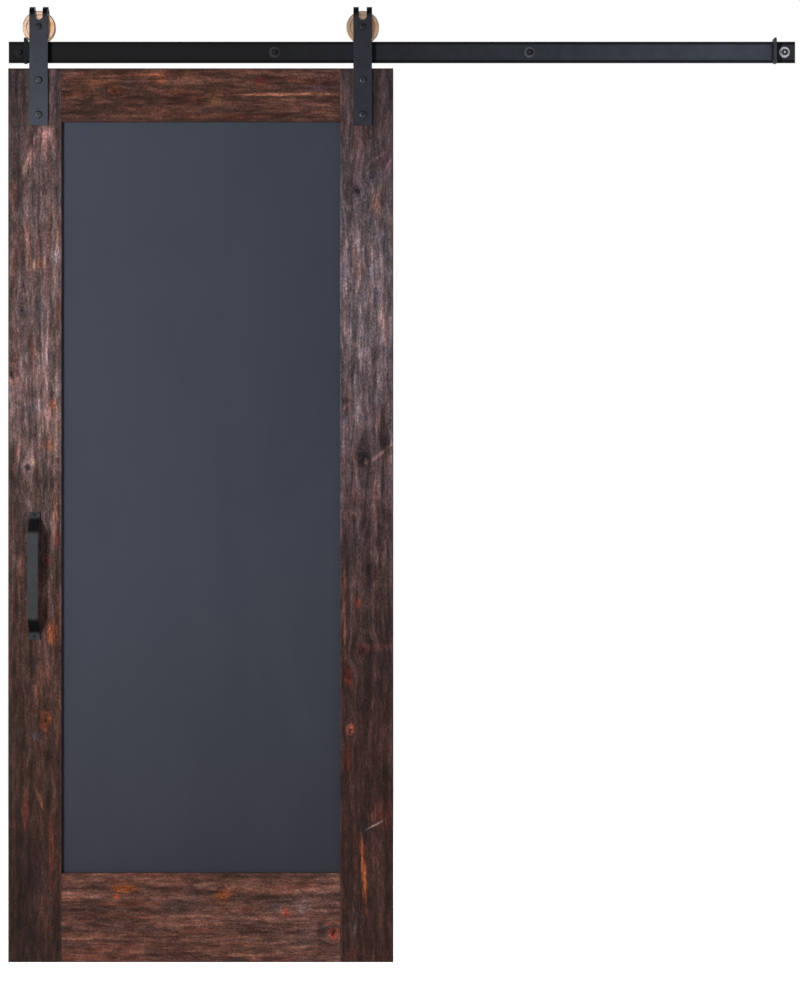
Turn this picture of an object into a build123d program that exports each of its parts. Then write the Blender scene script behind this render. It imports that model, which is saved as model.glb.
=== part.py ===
from build123d import *
import math
import os

# A sliding barn door on a flat steel track, closed against its left end stop.
# The frame: x runs to the right along the track, y from the room to the wall, z up.
# The origin is the middle of the row of wall bolts, in the face of the wall.
# All sizes are in millimetres.

os.makedirs("parts", exist_ok=True)

# Door leaf: two stiles, two rails and one panel held in a groove
door_width = 919.2
door_height = 2133.6
door_thickness = 44.45
stile_width = 127.0
top_rail_height = 127.0
bottom_rail_height = 212.7
panel_thickness = 12.7
panel_set_back = 12.7
groove_depth = 12.0
groove_side_gap = 0.2
groove_end_gap = 1.0
tenon_bolt_gap = 3.2
tenon_shoulder = 19.0
joint_gap = 0.2
arris_radius = 1.5
joint_chamfer = 0.8

# Where the leaf hangs
gap_under_track = 14.3
gap_to_wall = 11.1

# Track and its wall bolts
track_height = 50.8
track_thickness = 6.35
track_arris = 0.5
track_end_margin = 25.4
bolt_pitch = 609.6
bolt_count = 4
bolt_hole_diameter = 10.5
standoff_diameter = 25.4
standoff_bore = 13.0
washer_diameter = 25.4
washer_bore = 10.2
washer_thickness = 1.6
lag_neck_diameter = 9.0
lag_thread_diameter = 9.525
lag_thread_start = 6.0
lag_reach = 50.0
lag_point_length = 8.0
lag_point_diameter = 3.0
lag_head_width = 14.3
lag_head_height = 6.2

# Shares of a button head: its straight rim, its flat crown and its socket's depth
rim_share = 0.2
crown_share = 0.75
socket_share = 0.6

# Wheel: a grooved tread that runs on the track's top edge
wheel_width = 23.8
tread_radius = 33.5
flange_depth = 5.4
groove_clearance = 0.8
flange_flare_angle = 15.0
rolling_gap = 0.15
wheel_chamfer = 2.4
hub_radius = 19.0
rim_inner_radius = 30.0
web_recess = 2.5
recess_draft = 1.0

# Bearing in the wheel and the axle through it
bearing_outer_diameter = 30.0
bearing_bore = 10.0
bearing_width = 9.0
bearing_shoulder = 2.0
inner_ring_diameter = 17.0
ring_gap = 0.3
press_gap = 0.02
axle_gap = 0.03
axle_head_diameter = 15.5
axle_head_height = 4.4
axle_socket = 5.0
axle_end = 2.0
nut_width = 16.0
nut_height = 7.0
nut_collar_height = 2.0
nut_collar_diameter = 13.0
spacer_diameter = 15.0

# Hanger strap: flat bar bent over the wheel, slotted through the bend
strap_width = 44.45
strap_thickness = 6.35
strap_on_door = 136.5
wheel_side_gap = 2.4
wheel_bend_gap = 0.8
strap_arris = 0.6
strap_corner = 2.0
slot_width = 19.05
slot_above_axle = 16.4

# Bolts that hold the strap to the leaf
hanger_bolt_from_top = 28.6
hanger_bolt_pitch = 82.55
hanger_bolt_diameter = 9.6
hanger_head_diameter = 18.0
hanger_head_height = 5.3
hanger_socket = 6.0
strap_hole_gap = 0.4
barrel_diameter = 13.0
barrel_gap = 0.25
barrel_thread_gap = 0.05
barrel_head_diameter = 20.0
barrel_head_thickness = 2.6
barrel_head_chamfer = 0.8
barrel_short_by = 1.0
barrel_floor = 3.0
driver_slot_width = 1.8
driver_slot_depth = 1.2

# End stops: forked blocks over the track, with a rubber pad each
stop_width = 7.0
stop_wheel_gap = 0.5
stop_washer_gap = 0.4
stop_below_track = 3.0
stop_front_reach = 24.0
stop_back_reach = 12.0
stop_back_length = 38.0
stop_fork_gap = 0.15
stop_dome_share = 0.49
pad_thickness = 5.0
pad_height = 44.0
pad_margin = 1.0
pad_edge_radius = 1.0
pad_strap_gap = 0.3
right_stop_from_end = 46.0
set_screw_diameter = 6.0
set_screw_gap = 0.05
set_screw_socket = 3.0
set_screw_socket_depth = 3.0

# Door pull: one flat bar with two feet and a raised grip
pull_length = 304.8
pull_width = 25.4
pull_thickness = 6.35
pull_projection = 44.5
pull_foot = 16.5
pull_leg_run = 34.0
pull_inner_bend = 4.0
pull_arris = 0.6
pull_above_floor_edge = 923.0
pull_screw_from_end = 7.5
pull_screw_diameter = 4.2
pull_screw_length = 32.0
pull_screw_head = 8.4
pull_screw_hole = 4.8
pull_screw_gap = 0.05
countersink_angle = 82.0
cross_recess_width = 1.1
cross_recess_length = 4.4
cross_recess_depth = 1.2

# The strap stands in from the leaf's edge by the washer, the stop and its pad
strap_inset = track_end_margin + washer_diameter / 2 + stop_washer_gap
strap_inset += stop_width + pad_thickness + pad_strap_gap

# The tenons end short of the sleeve nuts that pass through the stiles
tenon_length = stile_width - strap_inset - strap_width / 2
tenon_length -= barrel_diameter / 2 + barrel_gap + tenon_bolt_gap

# Planes across the thickness, worked out from the wall towards the room
strap_gap = wheel_width + 2 * wheel_side_gap
door_back = -gap_to_wall
door_front = door_back - door_thickness
door_middle = (door_front + door_back) / 2
track_middle = door_front + strap_gap / 2
track_front = track_middle - track_thickness / 2
track_back = track_middle + track_thickness / 2
standoff_length = -track_back
washer_front = track_front - washer_thickness
strap_front = door_front - strap_thickness
strap_back = track_middle + strap_gap / 2 + strap_thickness

# Heights
track_top = track_height / 2
track_bottom = -track_height / 2
door_top = track_bottom - gap_under_track
door_bottom = door_top - door_height
opening_top = door_top - top_rail_height
opening_bottom = door_bottom + bottom_rail_height
axle_height = track_top + tread_radius + rolling_gap
flange_radius = tread_radius + flange_depth
strap_bottom = door_top - strap_on_door
strap_back_end = axle_height - strap_width / 2
slot_centre_height = axle_height + slot_above_axle + slot_width / 2

# The bend clears the wheel's outer corners where they pass under the edges of the slot
corner_rise = math.sqrt((flange_radius - wheel_chamfer) ** 2 - (slot_width / 2) ** 2)
bend_drop = math.sqrt((strap_gap / 2 - wheel_bend_gap) ** 2 - (wheel_width / 2) ** 2)
bend_height = axle_height + corner_rise - bend_drop

# Places along the track
track_length = (bolt_count - 1) * bolt_pitch + 2 * track_end_margin
track_left = -track_length / 2
track_right = track_length / 2
door_left = track_left
door_right = door_left + door_width
opening_left = door_left + stile_width
opening_right = door_right - stile_width
opening_middle = (opening_left + opening_right) / 2
pull_middle = door_left + stile_width / 2

# For each side: where its outer edge is and which way is inwards
sides = {"left": (door_left, 1), "right": (door_right, -1)}
strap_middle = {
    side: edge + inward * (strap_inset + strap_width / 2)
    for side, (edge, inward) in sides.items()
}
bolt_heights = [
    door_top - hanger_bolt_from_top,
    door_top - hanger_bolt_from_top - hanger_bolt_pitch,
]
pull_centre_height = door_bottom + pull_above_floor_edge
pull_screw_heights = [
    pull_centre_height + end * (pull_length / 2 - pull_screw_from_end) for end in (1, -1)
]

# The panel's groove, and the tenons that stay clear of it
groove_width = panel_thickness + 2 * groove_side_gap
panel_middle = door_front + panel_set_back + panel_thickness / 2
tenons = {
    "top": (opening_top + groove_depth + joint_gap, door_top - tenon_shoulder),
    "bottom": (door_bottom + tenon_shoulder, opening_bottom - groove_depth - joint_gap),
}


def facing_room(x, y, z):
    """A plane square to the door, its normal towards the room and its second axis up."""
    return Plane(origin=(x, y, z), x_dir=(1, 0, 0), z_dir=(0, -1, 0))


def facing_wall(x, y, z):
    """A plane square to the door, its normal towards the wall and its second axis up."""
    return Plane(origin=(x, y, z), x_dir=(-1, 0, 0), z_dir=(0, 1, 0))


def hex_block(across_flats, height):
    """A hexagon with its upper corners turned off, standing on the origin's plane."""
    corner = across_flats / math.sqrt(3)
    turned = corner - across_flats / 2
    with BuildPart() as block:
        with BuildSketch():
            RegularPolygon(across_flats / 2, 6, major_radius=False)
        extrude(amount=height)
        with BuildSketch(Plane.XZ):
            with BuildLine():
                Polyline(
                    (0, 0),
                    (corner + 1, 0),
                    (corner + 1, height - turned),
                    (corner, height - turned / 2),
                    (across_flats / 2, height),
                    (0, height),
                    close=True,
                )
            make_face()
        revolve(axis=Axis.Z, mode=Mode.INTERSECT)
    return block.part


def button_bolt(head_diameter, head_height, socket, shank_diameter, shank_length):
    """A domed socket-head bolt: head above the origin's plane, shank below it."""
    rim = head_height * rim_share
    crown = socket * crown_share
    with BuildPart() as bolt:
        with BuildSketch(Plane.XZ):
            with BuildLine():
                Line((0, -shank_length), (shank_diameter / 2, -shank_length))
                Line((shank_diameter / 2, -shank_length), (shank_diameter / 2, 0))
                Line((shank_diameter / 2, 0), (head_diameter / 2, 0))
                Line((head_diameter / 2, 0), (head_diameter / 2, rim))
                TangentArc((head_diameter / 2, rim), (crown, head_height), tangent=(0, 1))
                Line((crown, head_height), (0, head_height))
                Line((0, head_height), (0, -shank_length))
            make_face()
        revolve(axis=Axis.Z)
        with BuildSketch(Plane.XY.offset(head_height)):
            RegularPolygon(socket / 2, 6, major_radius=False)
        extrude(amount=-head_height * socket_share, mode=Mode.SUBTRACT)
    return bolt.part


# Stiles, with the panel's groove, two mortises and the bolts' holes
for side, (edge, inward) in sides.items():
    inner_edge = edge + inward * stile_width
    with BuildPart() as stile:
        with BuildSketch(Plane.XY.offset(door_bottom)):
            with Locations(((edge + inner_edge) / 2, door_middle)):
                Rectangle(stile_width, door_thickness)
        extrude(amount=door_height)
        outer_face = stile.faces().filter_by(Axis.X).sort_by(Axis.X)[::inward][0]
        fillet(outer_face.edges().filter_by(Axis.Z), arris_radius)
        inner_face = stile.faces().filter_by(Axis.X).sort_by(Axis.X)[::inward][-1]
        chamfer(inner_face.edges().filter_by(Axis.Z), joint_chamfer)
        chamfer(stile.faces().filter_by(Axis.Z).edges(), joint_chamfer)
        with Locations((inner_edge, panel_middle, (opening_top + opening_bottom) / 2)):
            Box(
                2 * groove_depth,
                groove_width,
                opening_top - opening_bottom + 2 * groove_depth,
                mode=Mode.SUBTRACT,
            )
        for low, high in tenons.values():
            with Locations((inner_edge, panel_middle, (low + high) / 2)):
                Box(
                    2 * (tenon_length + joint_gap),
                    groove_width,
                    high - low + 2 * joint_gap,
                    mode=Mode.SUBTRACT,
                )
        with Locations(*[facing_room(strap_middle[side], door_front, z) for z in bolt_heights]):
            Hole(barrel_diameter / 2 + barrel_gap, depth=door_thickness)
        if side == "left":
            with Locations(*[facing_room(pull_middle, door_front, z) for z in pull_screw_heights]):
                Hole(
                    pull_screw_diameter / 2 + pull_screw_gap,
                    depth=pull_screw_length - pull_thickness + joint_gap,
                )
    stile.part.label = f"{side}_stile"
    export_step(stile.part, f"parts/{side}_stile.step")

# Rails, tenoned into the stiles and grooved along the edge that holds the panel
rails = {"top": (opening_top, door_top), "bottom": (door_bottom, opening_bottom)}
for name, (low, high) in rails.items():
    tenon_low, tenon_high = tenons[name]
    panel_edge = opening_top if name == "top" else opening_bottom
    with BuildPart() as rail:
        with Locations((opening_middle, door_middle, (low + high) / 2)):
            Box(opening_right - opening_left, door_thickness, high - low)
        chamfer(rail.edges().filter_by(Axis.X) + rail.edges().filter_by(Axis.Z), joint_chamfer)
        with Locations((opening_middle, panel_middle, (tenon_low + tenon_high) / 2)):
            Box(
                opening_right - opening_left + 2 * tenon_length,
                panel_thickness,
                tenon_high - tenon_low,
            )
        with Locations((opening_middle, panel_middle, panel_edge)):
            Box(
                opening_right - opening_left,
                groove_width,
                2 * groove_depth,
                mode=Mode.SUBTRACT,
            )
    rail.part.label = f"{name}_rail"
    export_step(rail.part, f"parts/{name}_rail.step")

# The panel floats in its groove
panel_overlap = groove_depth - groove_end_gap
with BuildPart() as chalkboard_panel:
    with Locations((opening_middle, panel_middle, (opening_top + opening_bottom) / 2)):
        Box(
            opening_right - opening_left + 2 * panel_overlap,
            panel_thickness,
            opening_top - opening_bottom + 2 * panel_overlap,
        )
chalkboard_panel.part.label = "chalkboard_panel"
export_step(chalkboard_panel.part, "parts/chalkboard_panel.step")

# The track: a flat bar on edge, its long edges eased
with BuildPart() as track_rail:
    with BuildSketch(facing_wall(0, track_front, 0)):
        Rectangle(track_length, track_height)
        with GridLocations(bolt_pitch, 0, bolt_count, 1):
            Circle(bolt_hole_diameter / 2, mode=Mode.SUBTRACT)
    extrude(amount=track_thickness)
    chamfer(track_rail.edges().filter_by(Axis.X), track_arris)
track_rail.part.label = "track_rail"
export_step(track_rail.part, "parts/track_rail.step")

# Tubes that hold the track off the wall
with BuildPart() as track_standoffs:
    with BuildSketch(facing_wall(0, track_back, 0)):
        with GridLocations(bolt_pitch, 0, bolt_count, 1):
            Circle(standoff_diameter / 2)
            Circle(standoff_bore / 2, mode=Mode.SUBTRACT)
    extrude(amount=standoff_length)
track_standoffs.part.label = "track_standoffs"
export_step(track_standoffs.part, "parts/track_standoffs.step")

# Washers: the one at the track's right end has another finish
bolt_places = [(index - (bolt_count - 1) / 2) * bolt_pitch for index in range(bolt_count)]
washers = {"track_washers": bolt_places[:-1], "end_washer": bolt_places[-1:]}
for name, places in washers.items():
    with BuildPart() as washer:
        for x in places:
            with BuildSketch(facing_room(x, track_front, 0)):
                Circle(washer_diameter / 2)
                Circle(washer_bore / 2, mode=Mode.SUBTRACT)
        extrude(amount=washer_thickness)
    washer.part.label = name
    export_step(washer.part, f"parts/{name}.step")

# Lag bolts: a hex head, a plain neck through the spacer and a pointed thread in the wall
lag_neck_length = -washer_front - lag_thread_start
lag_thread_end = -washer_front + lag_reach
with BuildPart() as lag_bolt:
    add(hex_block(lag_head_width, lag_head_height))
    with BuildSketch(Plane.XZ):
        with BuildLine():
            Polyline(
                (0, 0),
                (lag_neck_diameter / 2, 0),
                (lag_neck_diameter / 2, -lag_neck_length),
                (lag_thread_diameter / 2, -lag_neck_length),
                (lag_thread_diameter / 2, -lag_thread_end),
                (lag_point_diameter / 2, -lag_thread_end - lag_point_length),
                (0, -lag_thread_end - lag_point_length),
                close=True,
            )
        make_face()
    revolve(axis=Axis.Z)
with BuildPart() as track_lag_bolts:
    with Locations(*[facing_room(x, washer_front, 0) for x in bolt_places]):
        add(lag_bolt.part)
track_lag_bolts.part.label = "track_lag_bolts"
export_step(track_lag_bolts.part, "parts/track_lag_bolts.step")

# Wheels, revolved from a half section: x is along the axle, y is the radius
half_width = wheel_width / 2
groove_half = track_thickness / 2 + groove_clearance
groove_mouth = groove_half + flange_depth * math.tan(math.radians(flange_flare_angle))
seat_radius = bearing_outer_diameter / 2
shoulder_radius = seat_radius - bearing_shoulder
web_face = half_width - web_recess
wheel_section = [
    (-half_width, shoulder_radius),
    (-half_width, hub_radius),
    (-web_face, hub_radius + recess_draft),
    (-web_face, rim_inner_radius - recess_draft),
    (-half_width, rim_inner_radius),
    (-half_width, flange_radius - wheel_chamfer),
    (-half_width + wheel_chamfer, flange_radius),
    (-groove_mouth, flange_radius),
    (-groove_half, tread_radius),
    (groove_half, tread_radius),
    (groove_mouth, flange_radius),
    (half_width - wheel_chamfer, flange_radius),
    (half_width, flange_radius - wheel_chamfer),
    (half_width, rim_inner_radius),
    (web_face, rim_inner_radius - recess_draft),
    (web_face, hub_radius + recess_draft),
    (half_width, hub_radius),
    (half_width, seat_radius),
    (-bearing_width / 2, seat_radius),
    (-bearing_width / 2, shoulder_radius),
]
for side, x in strap_middle.items():
    axle_plane = Plane(origin=(x, track_middle, axle_height), x_dir=(0, 1, 0), z_dir=(1, 0, 0))
    axle_line = Axis((x, track_middle, axle_height), (0, 1, 0))
    with BuildPart() as wheel:
        with BuildSketch(axle_plane):
            with BuildLine():
                Polyline(*wheel_section, close=True)
            make_face()
        revolve(axis=axle_line)
    wheel.part.label = f"{side}_wheel"
    export_step(wheel.part, f"parts/{side}_wheel.step")

    # The bearing's outer ring carries its shields and turns with the wheel
    bearing_back = track_middle + bearing_width / 2
    with BuildPart() as outer_ring:
        with BuildSketch(facing_room(x, bearing_back, axle_height)):
            Circle(seat_radius - press_gap)
            Circle(inner_ring_diameter / 2 + ring_gap, mode=Mode.SUBTRACT)
        extrude(amount=bearing_width)
    outer_ring.part.label = f"{side}_bearing_outer_ring"
    export_step(outer_ring.part, f"parts/{side}_bearing_outer_ring.step")

    # The inner ring is clamped on the axle
    with BuildPart() as inner_ring:
        with BuildSketch(facing_room(x, bearing_back, axle_height)):
            Circle(inner_ring_diameter / 2)
            Circle(bearing_bore / 2, mode=Mode.SUBTRACT)
        extrude(amount=bearing_width)
    inner_ring.part.label = f"{side}_bearing_inner_ring"
    export_step(inner_ring.part, f"parts/{side}_bearing_inner_ring.step")

# Spacer tubes between the straps and the inner rings
axle_diameter = bearing_bore - 2 * axle_gap
spacer_length = (strap_gap - bearing_width) / 2
with BuildPart() as axle_spacers:
    for x in strap_middle.values():
        for y in (track_middle - strap_gap / 2, track_middle + bearing_width / 2):
            with BuildSketch(facing_wall(x, y, axle_height)):
                Circle(spacer_diameter / 2)
                Circle(bearing_bore / 2, mode=Mode.SUBTRACT)
            extrude(amount=spacer_length)
axle_spacers.part.label = "axle_spacers"
export_step(axle_spacers.part, "parts/axle_spacers.step")

# Axle bolts, from the strap's face through to the nut behind it
nut_full_height = nut_height + nut_collar_height
axle_length = strap_back - strap_front + nut_full_height + axle_end
axle_bolt = button_bolt(
    axle_head_diameter, axle_head_height, axle_socket, axle_diameter, axle_length
)
with BuildPart() as axle_bolts:
    with Locations(*[facing_room(x, strap_front, axle_height) for x in strap_middle.values()]):
        add(axle_bolt)
axle_bolts.part.label = "axle_bolts"
export_step(axle_bolts.part, "parts/axle_bolts.step")

# Locking nuts: a hexagon with a round collar
with BuildPart() as lock_nut:
    add(hex_block(nut_width, nut_height))
    with BuildSketch(Plane.XY.offset(nut_height)):
        Circle(nut_collar_diameter / 2)
    extrude(amount=nut_collar_height)
    with BuildSketch():
        Circle(bearing_bore / 2)
    extrude(amount=nut_full_height, mode=Mode.SUBTRACT)
with BuildPart() as axle_nuts:
    with Locations(*[facing_wall(x, strap_back, axle_height) for x in strap_middle.values()]):
        add(lock_nut.part)
axle_nuts.part.label = "axle_nuts"
export_step(axle_nuts.part, "parts/axle_nuts.step")

# Hanger straps: a flat bar led up the door, over the wheel and down behind it
front_line = door_front - strap_thickness / 2
back_line = strap_back - strap_thickness / 2
bend_radius = (back_line - front_line) / 2
above_bend = bend_height + bend_radius + strap_thickness
for side, x in strap_middle.items():
    with BuildPart() as strap:
        with BuildLine(Plane.YZ.offset(x)) as bar:
            Line((front_line, strap_bottom), (front_line, bend_height))
            ThreePointArc(
                (front_line, bend_height),
                (track_middle, bend_height + bend_radius),
                (back_line, bend_height),
            )
            Line((back_line, bend_height), (back_line, strap_back_end))
        with BuildSketch(Plane(origin=(x, front_line, strap_bottom), x_dir=(1, 0, 0), z_dir=(0, 0, 1))):
            RectangleRounded(strap_width, strap_thickness, strap_arris)
        sweep(path=bar.line)
        bottom_corners = strap.edges().filter_by(Axis.Y).group_by(Axis.Z)[0]
        fillet(bottom_corners, strap_corner)
        with BuildSketch(facing_room(x, strap_back, axle_height)):
            with Locations((0, -strap_width / 4)):
                Rectangle(strap_width + 1, strap_width / 2)
            Circle(strap_width / 2, mode=Mode.SUBTRACT)
        extrude(amount=strap_thickness, mode=Mode.SUBTRACT)
        with BuildSketch(facing_room(x, track_middle, 0)):
            with Locations((0, slot_centre_height)):
                Circle(slot_width / 2)
            with Locations((0, (slot_centre_height + above_bend) / 2)):
                Rectangle(slot_width, above_bend - slot_centre_height)
        extrude(amount=strap_gap, both=True, mode=Mode.SUBTRACT)
        with Locations(facing_room(x, strap_front, axle_height)):
            Hole(bearing_bore / 2, depth=strap_back - strap_front)
        with Locations(*[facing_room(x, strap_front, z) for z in bolt_heights]):
            Hole(hanger_bolt_diameter / 2 + strap_hole_gap, depth=strap_thickness)
    strap.part.label = f"{side}_hanger_strap"
    export_step(strap.part, f"parts/{side}_hanger_strap.step")

# Bolts through strap and leaf, into sleeve nuts from the back
barrel_length = door_thickness - barrel_short_by
hanger_bolt_length = strap_thickness + door_thickness - barrel_floor - joint_gap
hanger_bolt = button_bolt(
    hanger_head_diameter,
    hanger_head_height,
    hanger_socket,
    hanger_bolt_diameter,
    hanger_bolt_length,
)
hanger_bolt_places = [(x, z) for x in strap_middle.values() for z in bolt_heights]
with BuildPart() as hanger_bolts:
    with Locations(*[facing_room(x, strap_front, z) for x, z in hanger_bolt_places]):
        add(hanger_bolt)
hanger_bolts.part.label = "hanger_bolts"
export_step(hanger_bolts.part, "parts/hanger_bolts.step")

with BuildPart() as barrel_nut:
    with BuildSketch():
        Circle(barrel_head_diameter / 2)
    extrude(amount=barrel_head_thickness)
    chamfer(barrel_nut.edges().group_by(Axis.Z)[-1], barrel_head_chamfer)
    with BuildSketch():
        Circle(barrel_diameter / 2)
    extrude(amount=-barrel_length)
    with Locations((0, 0, -barrel_length)):
        Cylinder(
            hanger_bolt_diameter / 2 + barrel_thread_gap,
            barrel_length - barrel_floor,
            align=(Align.CENTER, Align.CENTER, Align.MIN),
            mode=Mode.SUBTRACT,
        )
    with Locations((0, 0, barrel_head_thickness)):
        Box(barrel_head_diameter, driver_slot_width, 2 * driver_slot_depth, mode=Mode.SUBTRACT)
with BuildPart() as barrel_nuts:
    with Locations(*[facing_wall(x, door_back, z) for x, z in hanger_bolt_places]):
        add(barrel_nut.part)
barrel_nuts.part.label = "barrel_nuts"
export_step(barrel_nuts.part, "parts/barrel_nuts.step")

# End stops: the left one is set by the strap of the closed door, the right one by the track's end
left_pad_face = strap_middle["left"] - strap_width / 2 - pad_strap_gap
stops = {
    "left": (left_pad_face - pad_thickness - stop_width, 1),
    "right": (track_right - right_stop_from_end, -1),
}
stop_front = track_middle - stop_front_reach
stop_back = track_middle + stop_back_reach
stop_dome_radius = stop_width * stop_dome_share
stop_from_axle = strap_width / 2 + pad_strap_gap + pad_thickness + stop_dome_radius
dome_from_axle = flange_radius + stop_wheel_gap + stop_dome_radius
dome_drop = math.sqrt(dome_from_axle**2 - stop_from_axle**2)
stop_top = axle_height - dome_drop + stop_dome_radius
stop_bottom = track_bottom - stop_below_track
for side, (outer_x, inward) in stops.items():
    low_x = min(outer_x, outer_x + inward * stop_width)
    with BuildPart() as end_stop:
        with BuildSketch(Plane.YZ.offset(low_x)):
            with BuildLine():
                Polyline(
                    (stop_front, stop_bottom),
                    (stop_front, stop_top),
                    (stop_back, stop_top),
                    (stop_back, stop_top - stop_back_length),
                    (track_back + stop_fork_gap, stop_top - stop_back_length),
                    (track_back + stop_fork_gap, track_top + stop_fork_gap),
                    (track_front - stop_fork_gap, track_top + stop_fork_gap),
                    (track_front - stop_fork_gap, stop_bottom),
                    close=True,
                )
            make_face()
        extrude(amount=stop_width)
        dome_edges = end_stop.edges().filter_by(Axis.Y).group_by(Axis.Z)[-1]
        fillet(dome_edges, stop_dome_radius)
        with Locations(facing_wall(low_x + stop_width / 2, stop_back, 0)):
            Hole(set_screw_diameter / 2 + set_screw_gap, depth=stop_back - track_back)
    end_stop.part.label = f"{side}_end_stop"
    export_step(end_stop.part, f"parts/{side}_end_stop.step")

    # A rubber pad on the front arm, in the strap's path
    pad_back = door_front - pad_margin
    pad_front = stop_front + pad_margin
    pad_x = outer_x + inward * (stop_width + pad_thickness / 2)
    with BuildPart() as stop_pad:
        with Locations((pad_x, (pad_front + pad_back) / 2, 0)):
            Box(pad_thickness, pad_back - pad_front, pad_height)
        pad_face = stop_pad.faces().filter_by(Axis.X).sort_by(Axis.X)[-1 if inward > 0 else 0]
        fillet(pad_face.edges(), pad_edge_radius)
    stop_pad.part.label = f"{side}_stop_pad"
    export_step(stop_pad.part, f"parts/{side}_stop_pad.step")

# Set screws that press on the back of the track
set_screw_length = stop_back - track_back
with BuildPart() as set_screw:
    with BuildSketch():
        Circle(set_screw_diameter / 2)
    extrude(amount=-set_screw_length)
    with BuildSketch():
        RegularPolygon(set_screw_socket / 2, 6, major_radius=False)
    extrude(amount=-set_screw_socket_depth, mode=Mode.SUBTRACT)
stop_middles = [outer_x + inward * stop_width / 2 for outer_x, inward in stops.values()]
with BuildPart() as stop_set_screws:
    with Locations(*[facing_wall(x, stop_back, 0) for x in stop_middles]):
        add(set_screw.part)
stop_set_screws.part.label = "stop_set_screws"
export_step(stop_set_screws.part, "parts/stop_set_screws.step")

# The pull: feet on the stile, slanted legs and a straight grip
foot_line = door_front - pull_thickness / 2
grip_line = door_front - pull_projection + pull_thickness / 2
half_pull = pull_length / 2
half_foot = half_pull - pull_foot
half_grip = half_foot - pull_leg_run
pull_outline = [
    (foot_line, pull_centre_height + half_pull),
    (foot_line, pull_centre_height + half_foot),
    (grip_line, pull_centre_height + half_grip),
    (grip_line, pull_centre_height - half_grip),
    (foot_line, pull_centre_height - half_foot),
    (foot_line, pull_centre_height - half_pull),
]
foot_front = door_front - pull_thickness
with BuildPart() as door_pull:
    with BuildLine(Plane.YZ.offset(pull_middle)) as pull_bar:
        FilletPolyline(*pull_outline, radius=pull_inner_bend + pull_thickness / 2)
    with BuildSketch(
        Plane(origin=(pull_middle, *pull_outline[0]), x_dir=(1, 0, 0), z_dir=(0, 0, -1))
    ):
        RectangleRounded(pull_width, pull_thickness, pull_arris)
    sweep(path=pull_bar.line)
    with Locations(*[facing_room(pull_middle, foot_front, z) for z in pull_screw_heights]):
        CounterSinkHole(
            pull_screw_hole / 2,
            pull_screw_head / 2 + pull_screw_gap,
            depth=pull_thickness,
            counter_sink_angle=countersink_angle,
        )
door_pull.part.label = "door_pull"
export_step(door_pull.part, "parts/door_pull.step")

# Countersunk screws through the feet
head_depth = (pull_screw_head - pull_screw_diameter) / 2
head_depth /= math.tan(math.radians(countersink_angle / 2))
with BuildPart() as pull_screw:
    with BuildSketch(Plane.XZ):
        with BuildLine():
            Polyline(
                (0, 0),
                (pull_screw_head / 2, 0),
                (pull_screw_diameter / 2, -head_depth),
                (pull_screw_diameter / 2, -pull_screw_length),
                (0, -pull_screw_length),
                close=True,
            )
        make_face()
    revolve(axis=Axis.Z)
    with Locations((0, 0, 0)):
        Box(cross_recess_length, cross_recess_width, 2 * cross_recess_depth, mode=Mode.SUBTRACT)
        Box(cross_recess_width, cross_recess_length, 2 * cross_recess_depth, mode=Mode.SUBTRACT)
with BuildPart() as pull_screws:
    with Locations(*[facing_room(pull_middle, foot_front, z) for z in pull_screw_heights]):
        add(pull_screw.part)
pull_screws.part.label = "pull_screws"
export_step(pull_screws.part, "parts/pull_screws.step")
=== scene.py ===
"""Looks for a sliding barn door on a flat steel track: finishes, threaded bolts, light and camera.

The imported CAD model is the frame. x runs along the track, y from the room to the wall, z up, in metres.
"""

import logging
import math
from dataclasses import dataclass
from enum import Enum

import bpy
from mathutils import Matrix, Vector


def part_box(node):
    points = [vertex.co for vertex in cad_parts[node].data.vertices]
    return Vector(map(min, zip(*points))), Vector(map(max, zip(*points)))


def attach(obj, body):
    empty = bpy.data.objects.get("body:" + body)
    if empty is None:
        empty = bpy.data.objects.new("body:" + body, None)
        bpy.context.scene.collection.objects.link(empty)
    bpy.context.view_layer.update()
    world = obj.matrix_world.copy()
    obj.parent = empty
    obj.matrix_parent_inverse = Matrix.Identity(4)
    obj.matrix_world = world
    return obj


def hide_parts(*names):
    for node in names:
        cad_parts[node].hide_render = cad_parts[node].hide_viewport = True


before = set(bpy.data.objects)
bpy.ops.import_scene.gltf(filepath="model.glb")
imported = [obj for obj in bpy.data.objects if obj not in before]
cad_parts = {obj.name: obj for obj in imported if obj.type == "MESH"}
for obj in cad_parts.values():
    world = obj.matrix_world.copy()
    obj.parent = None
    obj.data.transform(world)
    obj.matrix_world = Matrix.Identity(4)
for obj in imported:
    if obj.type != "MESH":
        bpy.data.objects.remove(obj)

log = logging.getLogger("barn_door")

Colour = tuple[float, float, float, float]
Point = tuple[float, float, float]
Stops = tuple[tuple[float, Colour], ...]
Socket = bpy.types.NodeSocket

MM = 0.001
WHITE: Colour = (1.0, 1.0, 1.0, 1.0)

# How often the orange peel of powder coat repeats in a metre
PEEL_REPEATS = 1400.0

# The row of wall bolts along x
BOLT_COUNT = 4
BOLT_SPACING = 609.6 * MM
FIRST_BOLT = -(BOLT_COUNT - 1) / 2 * BOLT_SPACING


def tone(red: float, green: float, blue: float) -> Colour:
    """Turns a colour on the screen's 0 to 255 scale into the linear colour that a shader takes.

    Args:
        red: red, 0 to 255.
        green: green, 0 to 255.
        blue: blue, 0 to 255.

    Returns:
        The linear colour with full alpha.
    """
    linear = [
        share / 12.92 if share <= 0.04045 else ((share + 0.055) / 1.055) ** 2.4
        for share in (red / 255, green / 255, blue / 255)
    ]
    return (linear[0], linear[1], linear[2], 1.0)


class Axis(Enum):
    """The way a board's grain or a bar's tone runs, as its place in a vector."""

    LEVEL = 0
    DEPTH = 1
    UPRIGHT = 2


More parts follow.
